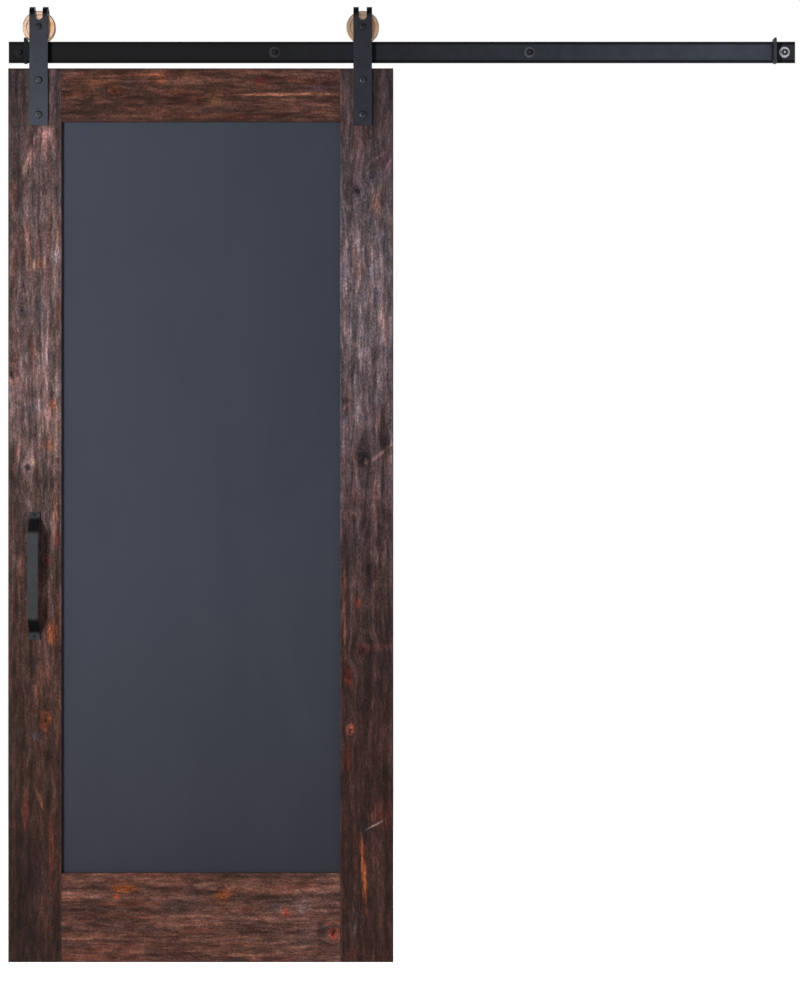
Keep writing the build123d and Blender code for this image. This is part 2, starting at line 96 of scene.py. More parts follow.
class Nodes:
    """A node tree, with short calls that add a node and link it."""

    def __init__(self, tree: bpy.types.NodeTree) -> None:
        """Empties the tree.

        Args:
            tree: the node tree of a material or of the world.
        """
        self.tree = tree
        self.tree.nodes.clear()

    def add(self, kind: str, settings: dict | None = None, **inputs: object) -> bpy.types.Node:
        """Adds a node.

        Args:
            kind: the node's type, without the words ShaderNode.
            settings: values for the node's own properties.
            **inputs: a socket or a plain value for each named or numbered input.

        Returns:
            The new node.
        """
        node = self.tree.nodes.new("ShaderNode" + kind)
        for key, value in (settings or {}).items():
            setattr(node, key, value)
        for key, value in inputs.items():
            name = key.replace("_", " ")
            socket = node.inputs[int(key[1:])] if key[0] == "i" and key[1:].isdigit() else node.inputs[name]
            if isinstance(value, bpy.types.NodeSocket):
                self.tree.links.new(value, socket)
            else:
                socket.default_value = value
        return node

    def math(self, how: str, first: object, second: object = 0.0, third: object = 0.0) -> Socket:
        """Adds a Math node and returns its result."""
        return self.add("Math", {"operation": how}, i0=first, i1=second, i2=third).outputs[0]

    def vector(self, how: str, first: object, second: object, third: object = (0.0, 0.0, 0.0)) -> Socket:
        """Adds a Vector Math node and returns its vector."""
        return self.add("VectorMath", {"operation": how}, i0=first, i1=second, i2=third).outputs["Vector"]

    def length(self, of: Socket) -> Socket:
        """Adds a Vector Math node and returns the length of a vector."""
        return self.add("VectorMath", {"operation": "LENGTH"}, i0=of).outputs["Value"]

    def split(self, of: Socket) -> tuple[Socket, ...]:
        """Adds a Separate XYZ node and returns its x, y and z."""
        return tuple(self.add("SeparateXYZ", i0=of).outputs)

    def join(self, x: object, y: object, z: object = 0.0) -> Socket:
        """Adds a Combine XYZ node and returns its vector."""
        return self.add("CombineXYZ", i0=x, i1=y, i2=z).outputs[0]

    def spread(
        self, value: Socket, low: float, high: float, to_low: float = 0.0, to_high: float = 1.0
    ) -> Socket:
        """Maps a value from low and high to two others, in a straight line."""
        return self.add("MapRange", i0=value, i1=low, i2=high, i3=to_low, i4=to_high).outputs[0]

    def smooth(
        self, value: Socket, low: float, high: float, to_low: float = 0.0, to_high: float = 1.0
    ) -> Socket:
        """Maps a value as spread does, with a soft start and end."""
        soft = {"interpolation_type": "SMOOTHSTEP"}
        return self.add("MapRange", soft, i0=value, i1=low, i2=high, i3=to_low, i4=to_high).outputs[0]

    def blend(self, share: Socket, first: object, second: object) -> Socket:
        """Mixes two numbers and returns the result."""
        return self.add("Mix", {"data_type": "FLOAT"}, i0=share, i2=first, i3=second).outputs[0]


class Shader(Nodes):
    """A material's node tree, with calls for what a surface needs."""

    def __init__(self, name: str) -> None:
        """Starts an empty material.

        Args:
            name: the material's name.
        """
        self.material = bpy.data.materials.new(name)
        self.material.use_nodes = True
        super().__init__(self.material.node_tree)

    def place(self) -> Socket:
        """Adds the object's own coordinates, in metres."""
        return self.add("TexCoord").outputs["Object"]

    def noise(
        self,
        where: Socket,
        repeats: float | Point,
        detail: float,
        rough: float = 0.5,
        scale: float = 1.0,
        twist: float = 0.0,
    ) -> Socket:
        """Adds a Noise Texture, stretched where its repeats differ from axis to axis.

        Args:
            where: the coordinates.
            repeats: how often the noise repeats in a metre, the same all round or for each axis.
            detail: how many finer layers it holds.
            rough: how strong those are.
            scale: what the repeats are multiplied by, where they differ.
            twist: how far it is twisted.

        Returns:
            The noise's factor.
        """
        if isinstance(repeats, tuple):
            where = self.vector("MULTIPLY", where, repeats)
            repeats = scale
        look = {"Scale": repeats, "Detail": detail, "Roughness": rough, "Distortion": twist}
        return self.add("TexNoise", Vector=where, **look).outputs["Fac"]

    def mix(self, share: object, first: object, second: object, how: str = "MIX") -> Socket:
        """Mixes two colours and returns the result."""
        node = self.add("Mix", {"data_type": "RGBA", "blend_type": how}, i0=share, i6=first, i7=second)
        return node.outputs[2]

    def tint(self, colour: Socket, factor: object, share: object = 1.0) -> Socket:
        """Multiplies a colour by another or by a number and returns the result."""
        return self.mix(share, colour, factor, "MULTIPLY")

    def ramp(self, value: Socket, stops: Stops) -> Socket:
        """Adds a Color Ramp.

        Args:
            value: the socket that is looked up.
            stops: places from 0 to 1, each with its colour.

        Returns:
            The ramp's colour.
        """
        node = self.add("ValToRGB", i0=value)
        elements = node.color_ramp.elements
        while len(elements) < len(stops):
            elements.new(0.5)
        for element, (place, colour) in zip(elements, stops):
            element.position = place
            element.color = colour
        return node.outputs[0]

    def skin(self, colour: Socket, peel: Socket) -> Socket:
        """Tints powder coat by the height of its orange peel and returns the colour."""
        return self.tint(colour, self.smooth(peel, 0.35, 0.70, 0.90, 1.22))

    def bump(self, height: Socket, strength: float, depth: float) -> Socket:
        """Adds a Bump node and returns its normal."""
        return self.add("Bump", Strength=strength, Distance=depth, Height=height).outputs[0]

    def close(self, **inputs: object) -> bpy.types.Material:
        """Adds the Principled shader and the output, and returns the material."""
        self.add("OutputMaterial", Surface=self.add("BsdfPrincipled", **inputs).outputs[0])
        return self.material


class MarkKind(Enum):
    """What a mark in the wood is."""

    KNOT = "knot"
    PATCH = "patch"


@dataclass(frozen=True)
class Mark:
    """A knot, streak or patch in a board, placed one by one.

    Attributes:
        across: its middle across the board, in metres in the frame.
        along: its middle along the grain.
        half_across: half its width.
        half_along: half its length.
        colour: the stain's colour there.
        strength: how far that colour takes over, 0 to 1.
        lean: how far it leans from the grain, in degrees.
        kind: a knot bends the grain and has rings, a patch only tints it.
        core: the colour of a knot's heart.
    """

    across: float
    along: float
    half_across: float
    half_along: float
    colour: Colour
    strength: float = 0.8
    lean: float = 0.0
    kind: MarkKind = MarkKind.PATCH
    core: Colour = tone(30, 16, 16)


@dataclass(frozen=True)
class StainedWood:
    """Dark stain over coarse brushed softwood, satin, one board at a time.

    Attributes:
        node: the board's CAD node.
        grain: the way its grain runs.
        stops: the colours from the board's low end to its high end: the stain's, and on the stiles a painted
            sheen that makes the upper parts paler.
        marks: its knots, streaks and patches.
        seed: what moves the grain's pattern, different for each board.
        tilt: the stain's strength at the board's low edge and at its high edge.
        outer: 1 where the high edge is the leaf's outer edge, and -1 where the low one is.
        worn_and_lit: the colour of the band along the long edges, worn paler and with a painted highlight
            along the arris.
        contrast: how far the grain darkens and lightens the stain.
        grain_mean: the mean of the grain's layers, added up.
        warm: what the stain is multiplied by where it took warmer.
        grey: what it is multiplied by where it took greyer.
        wander_reach: how far the grain wanders from side to side.
        worn_and_lit_band: how far inside an edge that band starts and is full.
        edge_band: how far inside the outer edge the painted shade starts and is full.
        end_band: the same at the board's ends.
        edge_shade: how much light is left in the painted shade at the outer edge and the ends.
    """

    node: str
    grain: Axis
    stops: Stops
    marks: tuple[Mark, ...]
    seed: float
    tilt: tuple[float, float]
    outer: float
    worn_and_lit: Colour = tone(128, 102, 98)
    contrast: float = 19.0
    grain_mean: float = 1.95
    warm: Colour = (1.30, 0.98, 0.84, 1.0)
    grey: Colour = (0.84, 1.02, 1.16, 1.0)
    wander_reach: float = 30.0 * MM
    worn_and_lit_band: tuple[float, float] = (5.2 * MM, 2.2 * MM)
    edge_band: tuple[float, float] = (3.8 * MM, 1.2 * MM)
    end_band: tuple[float, float] = (4.2 * MM, 1.2 * MM)
    edge_shade: float = 0.50

    def make(self) -> bpy.types.Material:
        """Builds the board's material.

        A noise's three numbers say how often it repeats in a metre across, along and through the board.

        Returns:
            The finished material.
        """
        s = Shader(f"stained_{self.node}")
        side = Axis.LEVEL if self.grain is Axis.UPRIGHT else Axis.UPRIGHT
        low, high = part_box(self.node)
        low_edge, high_edge = low[side.value], high[side.value]
        low_end, high_end = low[self.grain.value], high[self.grain.value]
        half_across = (high_edge - low_edge) / 2
        half_along = (high_end - low_end) / 2
        parts = s.split(s.place())
        across, along, depth = parts[side.value], parts[self.grain.value], parts[Axis.DEPTH.value]
        flat = s.join(across, along, depth)
        shift = (self.seed, self.seed * 1.7, self.seed * 0.6)
        shifted = s.vector("ADD", flat, shift)

        # Slow wander of the grain, the same for every layer
        wander = s.math("SUBTRACT", s.noise(shifted, (9.0, 2.2, 9.0), 2.0), 0.5)
        bent = s.math("ADD", across, s.math("MULTIPLY", wander, self.wander_reach))

        # A knot spreads the grain lines round it
        ragged_at = s.vector("MULTIPLY", shifted, (60.0, 30.0, 60.0))
        ragged = s.add("TexNoise", Vector=ragged_at, Scale=1.0, Detail=3.0).outputs["Color"]
        ragged = s.vector("SUBTRACT", ragged, (0.5, 0.5, 0.5))
        fields: list[tuple[Mark, Socket]] = []
        for mark in self.marks:
            local = s.add(
                "Mapping",
                {"vector_type": "TEXTURE"},
                Vector=flat,
                Location=(mark.across, mark.along, 0.0),
                Rotation=(0.0, 0.0, math.radians(mark.lean)),
                Scale=(mark.half_across, mark.half_along, 1000.0),
            ).outputs[0]
            fields.append((mark, s.length(s.vector("MULTIPLY_ADD", ragged, (0.9, 0.9, 0.0), local))))
            if mark.kind is MarkKind.KNOT:
                push = s.smooth(s.length(local), 0.0, 3.2, 0.8, 0.0)
                offset = s.math("SUBTRACT", across, mark.across)
                bent = s.math("SUBTRACT", bent, s.math("MULTIPLY", push, offset))
        grained = s.vector("ADD", s.join(bent, along, depth), shift)

        # Fibres, streaks and broad bands, from fine to coarse
        fibre = s.noise(grained, (400.0, 170.0, 400.0), 2.0, 0.6)
        streak = s.noise(grained, (150.0, 30.0, 150.0), 3.0, 0.62)
        band = s.noise(grained, (62.0, 3.2, 62.0), 3.0, 0.6)
        cloud = s.noise(shifted, (26.0, 11.0, 26.0), 3.0, 0.6)

        # Tone along the board, moved a little up and down so that no step is straight. On the stiles it holds
        # a painted sheen, paler high up
        moved = s.math("MULTIPLY", s.math("SUBTRACT", cloud, 0.5), 0.12)
        colour = s.ramp(s.math("ADD", s.spread(along, low_end, high_end), moved), self.stops)

        # Stain that took warmer or greyer in places, and darker towards one edge
        warm = s.noise(grained, (60.0, 7.0, 60.0), 2.0, 0.6)
        colour = s.tint(colour, self.warm, s.smooth(warm, 0.50, 0.72))
        grey = s.noise(shifted, (44.0, 15.0, 44.0), 3.0, 0.6, 1.3, 0.6)
        colour = s.tint(colour, self.grey, s.smooth(grey, 0.50, 0.72))
        colour = s.tint(colour, s.spread(across, low_edge, high_edge, *self.tilt))

        # Marks: streaks and patches of other stain, and knots with rings and a heart
        relief = s.math("ADD", s.math("MULTIPLY", streak, 0.6), s.math("MULTIPLY", fibre, 0.5))
        for mark, reach in fields:
            amount = s.smooth(reach, 0.30, 1.30, mark.strength, 0.0)
            lively = s.math("MULTIPLY", amount, s.smooth(streak, 0.36, 0.60, 0.55, 1.0))
            colour = s.mix(lively, colour, mark.colour)
            if mark.kind is MarkKind.KNOT:
                ringed = s.math("SINE", s.math("MULTIPLY", reach, 13.0))
                ringed = s.math("MULTIPLY", s.smooth(ringed, -0.2, 1.0), s.smooth(reach, 0.5, 2.0, 0.45, 0.0))
                colour = s.mix(ringed, colour, mark.core)
                colour = s.mix(s.smooth(reach, 0.15, 0.60, 0.95, 0.0), colour, mark.core)
                relief = s.math("SUBTRACT", relief, s.smooth(reach, 0.2, 0.8, 0.5, 0.0))

        # Brushed grain: each layer darkens or lightens the stain, which their mean leaves as it is
        grain = s.math("MULTIPLY", streak, 1.10)
        for layer, share in ((fibre, 0.95), (band, 1.20), (cloud, 0.65)):
            grain = s.math("MULTIPLY_ADD", layer, share, grain)
        colour = s.tint(colour, s.math("POWER", self.contrast, s.math("SUBTRACT", grain, self.grain_mean)))

        # The board's long edges: worn paler just inside the arris, with a painted highlight there
        offset = s.math("SUBTRACT", across, (low_edge + high_edge) / 2)
        rub_from, rub_to = (half_across - inside for inside in self.worn_and_lit_band)
        arris = s.smooth(s.math("ABSOLUTE", offset), rub_from, rub_to, 0.0, 0.16)
        worn_and_lit = s.math("MULTIPLY", arris, s.smooth(streak, 0.35, 0.6, 0.3, 1.0))
        colour = s.mix(worn_and_lit, colour, self.worn_and_lit)

        # Painted shade on the leaf's outer edge and on the board's ends
        edge_from, edge_to = (half_across - inside for inside in self.edge_band)
        edge = s.smooth(s.math("MULTIPLY", offset, self.outer), edge_from, edge_to, 1.0, self.edge_shade)
        from_centre = s.math("ABSOLUTE", s.math("SUBTRACT", along, (low_end + high_end) / 2))
        end_from, end_to = (half_along - inside for inside in self.end_band)
        ends = s.smooth(from_centre, end_from, end_to, 1.0, self.edge_shade)
        colour = s.tint(colour, s.math("MULTIPLY", edge, ends))

        return s.close(
            Base_Color=colour,
            Roughness=s.smooth(grain, 1.4, 2.2, 0.72, 0.58),
            Specular_IOR_Level=0.16,
            Normal=s.bump(relief, 0.45, 0.7 * MM),
        )


@dataclass(frozen=True)
class SlatePaint:
    """Matte chalkboard paint, rolled on board, with the faint clouds of wiped chalk.

    Attributes:
        name: the material's name.
        stops: the paint's colours from the panel's foot to its head, darker at the foot as a painted falloff
            of light.
        low: the panel's low corner.
        high: the panel's high corner.
        tilt: what the colour is multiplied by at the panel's left and right, a painted falloff of light that
            darkens the right.
        chalk: the colour of chalk left behind.
        clean: the colour where it is wiped clean.
        dust: the colour of its fine specks.
    """

    name: str
    stops: Stops
    low: Vector
    high: Vector
    tilt: tuple[float, float] = (1.24, 0.95)
    chalk: Colour = tone(86, 90, 98)
    clean: Colour = tone(46, 50, 60)
    dust: Colour = tone(104, 108, 118)

    def make(self) -> bpy.types.Material:
        """Builds the paint's material.

        Returns:
            The finished material.
        """
        s = Shader(self.name)
        at = s.place()
        x, _, z = s.split(at)
        # Painted falloff of light: darker towards the foot and towards the right
        colour = s.ramp(s.spread(z, self.low.z, self.high.z), self.stops)
        colour = s.tint(colour, s.spread(x, self.low.x, self.high.x, *self.tilt))
        wiped = s.noise(at, (1.0, 1.0, 0.45), 4.0, 0.55, 5.5, 0.7)
        colour = s.mix(s.smooth(wiped, 0.42, 0.72, 0.0, 0.14), colour, self.chalk)
        colour = s.mix(s.smooth(wiped, 0.50, 0.28, 0.0, 0.14), colour, self.clean)
        speckle = s.noise(at, 900.0, 2.0, 0.6)
        rolled = s.noise(at, 260.0, 3.0, 0.55)
        colour = s.mix(s.smooth(speckle, 0.45, 0.75, 0.0, 0.08), colour, self.dust)
        relief = s.math("ADD", s.math("MULTIPLY", rolled, 0.7), s.math("MULTIPLY", speckle, 0.3))
        return s.close(
            Base_Color=colour,
            Roughness=s.smooth(wiped, 0.3, 0.7, 0.72, 0.82),
            Specular_IOR_Level=0.16,
            Normal=s.bump(relief, 0.25, 0.4 * MM),
        )


@dataclass(frozen=True)
class BlackSteel:
    """Powder-coated steel bar, with a fine orange-peel skin.

    Attributes:
        name: the material's name.
        stops: the colours from the low end to the high end: the coat's, with the painted shade or reflection
            that a piece is given.
        low: where the low end is along the axis.
        high: where the high end is along the axis.
        along: the axis that the tone runs on.
        rim_from: height from the middle of a bar at which its band of painted shade along the edges begins,
            or 0 for none.
        rim: how much of the tone is left in that band.
        roughness: the coat's roughness.
        gloss: the coat's specular level.
    """

    name: str
    stops: Stops
    low: float = 0.0
    high: float = 1.0
    along: Axis = Axis.LEVEL
    rim_from: float = 0.0
    rim: float = 0.26
    roughness: float = 0.50
    gloss: float = 0.08

    def make(self) -> bpy.types.Material:
        """Builds the coat's material.

        Returns:
            The finished material.
        """
        s = Shader(self.name)
        at = s.place()
        parts = s.split(at)
        colour = s.ramp(s.spread(parts[self.along.value], self.low, self.high), self.stops)
        peel = s.noise(at, PEEL_REPEATS, 2.0, 0.55)
        cloud = s.noise(at, 38.0, 3.0, 0.6)
        colour = s.tint(colour, s.smooth(cloud, 0.35, 0.70, 0.94, 1.12))
        colour = s.skin(colour, peel)
        # Painted shade: a darker band along the bar's top and bottom edges
        if self.rim_from:
            height = s.math("ABSOLUTE", parts[Axis.UPRIGHT.value])
            colour = s.tint(colour, s.smooth(height, self.rim_from, self.rim_from + 1.6 * MM, 1.0, self.rim))
        return s.close(
            Base_Color=colour,
            Metallic=0.0,
            Roughness=s.smooth(cloud, 0.3, 0.7, self.roughness - 0.06, self.roughness + 0.06),
            Specular_IOR_Level=self.gloss,
            Normal=s.bump(peel, 0.22, 0.25 * MM),
        )


@dataclass(frozen=True)
class BoltHeads:
    """Black bolt heads in a row, each with a painted highlight in its middle.

    Attributes:
        name: the material's name.
        stops: the coat's colours from the row's low end to its high end, with a painted reflection that
            brightens to the right.
        spots: the painted highlights' colours, the same way.
        low: where the low end is along x.
        high: where the high end is along x.
        spacing: the distance between two bolts.
        first: where the first bolt is along x.
        spot_radius: the radius at which a spot has faded out.
        spot_depth: how deep a spot goes behind the head's face.
    """

    name: str
    stops: Stops
    spots: Stops
    low: float
    high: float
    spacing: float = BOLT_SPACING
    first: float = FIRST_BOLT
    spot_radius: float = 3.0 * MM
    spot_depth: float = 2.0 * MM

    def make(self) -> bpy.types.Material:
        """Builds the coat's material.

        Returns:
            The finished material.
        """
        s = Shader(self.name)
        at = s.place()
        x, y, z = s.split(at)
        share = s.spread(x, self.low, self.high)
        nearest = s.math("PINGPONG", s.math("SUBTRACT", x, self.first), self.spacing / 2)
        peel = s.noise(at, PEEL_REPEATS, 2.0, 0.55)
        torn = s.math("SUBTRACT", peel, 0.5)
        # Painted highlight: a pale spot in the middle of each head, brightest on the last one
        ragged = s.math("MULTIPLY_ADD", torn, self.spot_radius * 0.6, s.length(s.join(nearest, z)))
        spot = s.smooth(ragged, self.spot_radius * 0.45, self.spot_radius, 1.0, 0.0)
        fade_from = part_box("track_lag_bolts")[0].y + self.spot_depth
        spot = s.math("MULTIPLY", spot, s.smooth(y, fade_from, fade_from + self.spot_depth, 1.0, 0.0))
        colour = s.mix(spot, s.ramp(share, self.stops), s.ramp(share, self.spots))
        return s.close(
            Base_Color=s.skin(colour, peel),
            Roughness=s.smooth(peel, 0.3, 0.7, 0.32, 0.44),
            Specular_IOR_Level=0.08,
            Normal=s.bump(peel, 0.18, 0.2 * MM),
        )


@dataclass(frozen=True)
class ZincSteel:
    """Bright zinc plate, brushed and faintly clouded.

    Attributes:
        name: the material's name.
        colour: the plate's colour.
        roughness: how rough it is.
        metallic: how much of it shines as metal does.
    """

    name: str
    colour: Colour
    roughness: float = 0.28
    metallic: float = 1.0

    def make(self) -> bpy.types.Material:
        """Builds the plate's material.

        Returns:
            The finished material.
        """
        s = Shader(self.name)
        at = s.place()
        cloud = s.noise(at, 160.0, 3.0, 0.6)
        grit = s.noise(at, 2400.0, 2.0, 0.5)
        dull = tuple(part * 0.86 for part in self.colour[:3]) + (1.0,)
        colour = s.mix(s.smooth(cloud, 0.35, 0.7), dull, self.colour)
        return s.close(
            Base_Color=colour,
            Metallic=self.metallic,
            Roughness=s.smooth(grit, 0.3, 0.7, self.roughness - 0.06, self.roughness + 0.08),
            Normal=s.bump(grit, 0.08, 0.06 * MM),
        )


@dataclass(frozen=True)
class TurnedBrass:
    """Brass turned on a lathe: fine rings round the axle and a warm tarnish.

    Attributes:
        name: the material's name.
        axle: the middle of the wheel.
        bright: the colour of clean brass.
        tarnish: the colour where it has tarnished.
        rim: the colour of the flanges' rims, a painted dark reflection.
        rim_band: the radii at which that painted rim starts and is full.
    """

    name: str
    axle: Vector
    bright: Colour = tone(222, 190, 164)
    tarnish: Colour = tone(188, 146, 112)
    rim: Colour = tone(112, 76, 48)
    rim_band: tuple[float, float] = (36.6 * MM, 38.0 * MM)

    def make(self) -> bpy.types.Material:
        """Builds the brass for one wheel.

        Returns:
            The finished material.
        """
        s = Shader(self.name)
        centred = s.add("Mapping", Vector=s.place(), Location=tuple(-self.axle)).outputs[0]
        x, y, z = s.split(centred)
        radius = s.length(s.join(x, 0.0, z))
        turned = s.noise(s.join(radius, y), 1700.0, 2.0, 0.6)
        cloud = s.noise(centred, 45.0, 3.0, 0.6)
        colour = s.mix(s.smooth(cloud, 0.38, 0.72), self.bright, self.tarnish)
        # Painted reflection: a dark band round the flanges' rims
        colour = s.mix(s.smooth(radius, *self.rim_band, 0.0, 0.80), colour, self.rim)
        return s.close(
            Base_Color=colour,
            Metallic=1.0,
            Roughness=s.smooth(cloud, 0.3, 0.7, 0.26, 0.40),
            Normal=s.bump(turned, 0.18, 0.12 * MM),
        )


@dataclass(frozen=True)
class PadRubber:
    """Black moulded rubber with a dusty bloom.

    Attributes:
        name: the material's name.
        black: the rubber's colour.
        dust: the bloom's colour.
    """

    name: str
    black: Colour = tone(16, 16, 18)
    dust: Colour = tone(38, 38, 40)

    def make(self) -> bpy.types.Material:
        """Builds the rubber's material.

        Returns:
            The finished material.
        """
        s = Shader(self.name)
        at = s.place()
        grain = s.noise(at, 700.0, 3.0, 0.6)
        bloom = s.noise(at, 60.0, 2.0, 0.6)
        colour = s.mix(s.smooth(bloom, 0.4, 0.8, 0.0, 0.5), self.black, self.dust)
        return s.close(
            Base_Color=colour,
            Roughness=s.smooth(grain, 0.3, 0.7, 0.72, 0.86),
            Specular_IOR_Level=0.3,
            Normal=s.bump(grain, 0.3, 0.3 * MM),
        )


def pick(*pieces: bpy.types.Object) -> None:
    """Selects pieces alone.

    Args:
        *pieces: the pieces, of which the first becomes the active one.
    """
    bpy.ops.object.select_all(action="DESELECT")
    for piece in pieces:
        piece.select_set(True)
    bpy.context.view_layer.objects.active = pieces[0]


def settle(piece: bpy.types.Object) -> None:
    """Moves a piece's place and turn into its mesh."""
    pick(piece)
    bpy.ops.object.transform_apply(location=True, rotation=True, scale=True)


def break_edges(piece: bpy.types.Object, width: float, bend: float) -> None:
    """Bevels the sharp edges of a piece in two steps.

    Args:
        piece: the piece, which is the active one.
        width: the bevel's width.
        bend: the bend between two faces, in degrees, from which an edge is sharp.
    """
    bevel = piece.modifiers.new("broken_edges", "BEVEL")
    bevel.width = width
    bevel.segments = 2
    bevel.limit_method = "ANGLE"
    bevel.angle_limit = math.radians(bend)
    bpy.ops.object.modifier_apply(modifier=bevel.name)


def dress(node: str, material: bpy.types.Material) -> None:
    """Gives a CAD node its finish.

    Args:
        node: the node's name.
        material: the finish.
    """
    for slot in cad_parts[node].material_slots:
        slot.material = material
    log.info("dressed %s with %s", node, material.name)


def shades(*rows: tuple[float, float, float, float]) -> Stops:
    """Turns rows of a place from 0 to 1 and a colour on the screen into a ramp's stops."""
    return tuple((place, tone(red, green, blue)) for place, red, green, blue in rows)


def plain(red: float, green: float, blue: float) -> Stops:
    """Makes the stops of a ramp that is one colour all over."""
    return shades((0.0, red, green, blue), (1.0, red, green, blue))


# The stiles' stain, from the foot of the door up, with a painted sheen that makes the upper parts paler
LEFT_STOPS = shades(
    (0.0, 46, 27, 21),
    (0.15, 55, 33, 26),
    (0.26, 63, 40, 33),
    (0.38, 72, 48, 42),
    (0.50, 84, 65, 62),
    (0.62, 108, 85, 83),
    (0.86, 97, 77, 76),
    (0.94, 80, 62, 61),
    (1.0, 66, 50, 50),
)
RIGHT_STOPS = shades(
    (0.0, 63, 38, 32),
    (0.22, 58, 35, 31),
    (0.40, 64, 45, 43),
    (0.52, 82, 62, 63),
    (0.70, 114, 98, 102),
    (0.82, 108, 93, 96),
    (0.92, 78, 62, 64),
    (1.0, 58, 44, 44),
)

# The rails' stain, from left to right
TOP_STOPS = shades((0.0, 82, 51, 42), (0.5, 81, 49, 38), (1.0, 82, 53, 46))
BOTTOM_STOPS = shades((0.0, 96, 61, 51), (0.6, 98, 63, 52), (1.0, 108, 75, 66))
# The rails' edge band: worn paler, with a painted highlight along the arris
RAIL_WORN_AND_LIT = tone(112, 84, 74)

# Marks are placed as they are seen from the front, 800 pixels wide. This is a pixel's size in metres on
# the door's face, and the pixel that looks at x = 0 and z = VIEW_HEIGHT.
PIXEL = 0.002387
VIEW_ACROSS = 402.2
VIEW_DOWN = 491.5
VIEW_HEIGHT = -1.0485


def seen_at(across: float, down: float) -> tuple[float, float]:
    """Turns a place seen on the door's face, in pixels, into x and z in metres."""
    return ((across - VIEW_ACROSS) * PIXEL, VIEW_HEIGHT - (down - VIEW_DOWN) * PIXEL)


def upright_mark(
    across: float, down: float, wide: float, tall: float, colour: Colour, **more: object
) -> Mark:
    """Makes a mark on a stile from where it is seen.

    Args:
        across: its middle from the left of the view, in pixels.
        down: its middle from the top of the view.
        wide: its width in the view.
        tall: its height in the view.
        colour: the stain's colour there.
        **more: further fields of the mark.

    Returns:
        The mark.
    """
    x, z = seen_at(across, down)
    return Mark(x, z, wide / 2 * PIXEL, tall / 2 * PIXEL, colour, **more)


def level_mark(
    across: float, down: float, wide: float, tall: float, colour: Colour, **more: object
) -> Mark:
    """Makes a mark on a rail, whose grain runs level, from what upright_mark takes."""
    x, z = seen_at(across, down)
    return Mark(z, x, tall / 2 * PIXEL, wide / 2 * PIXEL, colour, **more)


PINK = tone(150, 108, 104)
ORANGE = tone(158, 84, 46)
COPPER = tone(140, 88, 68)
RED = tone(112, 44, 30)
SLATE = tone(66, 64, 74)
INK = tone(34, 26, 32)
STRAW = tone(164, 132, 116)
SOOT = tone(10, 7, 7)

LEFT_MARKS = (
    upright_mark(11, 148, 28, 110, SOOT, strength=0.36),
    upright_mark(50, 395, 20, 230, tone(146, 120, 116), strength=0.34),
    upright_mark(10, 772, 32, 180, SOOT, strength=0.40),
    upright_mark(44, 137, 16, 34, PINK, lean=-28, strength=0.75),
    upright_mark(30, 158, 12, 24, PINK, lean=-22, strength=0.85),
    upright_mark(25, 170, 5, 22, STRAW, lean=-14, strength=0.8),
    upright_mark(15, 195, 7, 40, COPPER, strength=0.5),
    upright_mark(17, 240, 12, 18, PINK, lean=30, strength=0.6),
    upright_mark(33, 266, 5, 14, STRAW, strength=0.9),
    upright_mark(40, 264, 10, 12, COPPER, strength=0.7),
    upright_mark(22, 312, 8, 18, SLATE, strength=0.7, kind=MarkKind.KNOT, core=tone(44, 38, 44)),
    upright_mark(33, 352, 8, 20, COPPER, strength=0.6),
    upright_mark(12, 375, 7, 14, INK, lean=24, strength=0.8, kind=MarkKind.KNOT),
    upright_mark(19, 383, 5, 22, PINK, lean=24, strength=0.8),
    upright_mark(32, 408, 12, 16, SLATE, strength=0.6),
    upright_mark(54, 490, 12, 170, tone(134, 100, 94), strength=0.50),
    upright_mark(50, 412, 17, 26, PINK, strength=0.75),
    upright_mark(53, 405, 8, 14, ORANGE, strength=0.7),
    upright_mark(50, 446, 16, 16, COPPER, strength=0.85),
    upright_mark(56, 430, 4, 54, STRAW, strength=0.6),
    upright_mark(33, 462, 8, 10, STRAW, strength=0.7),
    upright_mark(28, 468, 8, 10, INK, strength=0.8, kind=MarkKind.KNOT),
    upright_mark(56, 515, 5, 64, COPPER, strength=0.75),
    upright_mark(57, 542, 7, 22, RED, strength=0.7),
    upright_mark(48, 560, 5, 16, RED, strength=0.7),
    upright_mark(21, 570, 8, 60, COPPER, strength=0.35),
    upright_mark(53, 632, 12, 26, ORANGE, strength=0.62),
    upright_mark(39, 690, 10, 54, COPPER, strength=0.4),
    upright_mark(46, 722, 12, 22, ORANGE, strength=0.95, kind=MarkKind.KNOT, core=tone(58, 24, 12)),
    upright_mark(36, 736, 10, 10, SLATE, strength=0.55),
    upright_mark(40, 800, 4, 34, COPPER, lean=20, strength=0.6),
    upright_mark(26, 812, 8, 40, RED, strength=0.3),
    upright_mark(52, 850, 8, 90, RED, strength=0.3),
    upright_mark(36, 870, 16, 60, INK, strength=0.5),
)
